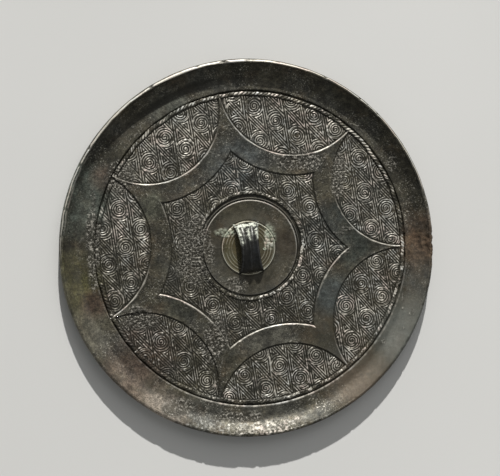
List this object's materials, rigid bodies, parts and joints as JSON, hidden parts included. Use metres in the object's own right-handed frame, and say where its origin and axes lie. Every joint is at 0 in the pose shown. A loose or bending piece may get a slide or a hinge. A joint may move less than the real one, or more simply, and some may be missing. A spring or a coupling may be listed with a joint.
{
  "type": "ancient bronze mirror",
  "caption": "Cast bronze hand mirror: flat reflecting face, raised rim, linked-arc band on a whorl ground, ridged strap knob with a cord passage.",
  "frame": {"origin": "centre of the flat reflecting face, on the disc's axis", "axes": "+Z out of the decorated back, through the knob; the knob's strap lies along +Y, its cord passage along +X, both turned 7 degrees"},
  "size_m": [0.18, 0.18, 0.0093],
  "materials": {
    "patinated_bronze": "dark grey-green bronze patina, satin, with pale worn edges and a little green corrosion"
  },
  "bodies": {
    "root": {"mirror": "patinated_bronze"}
  },
  "joints": []
}
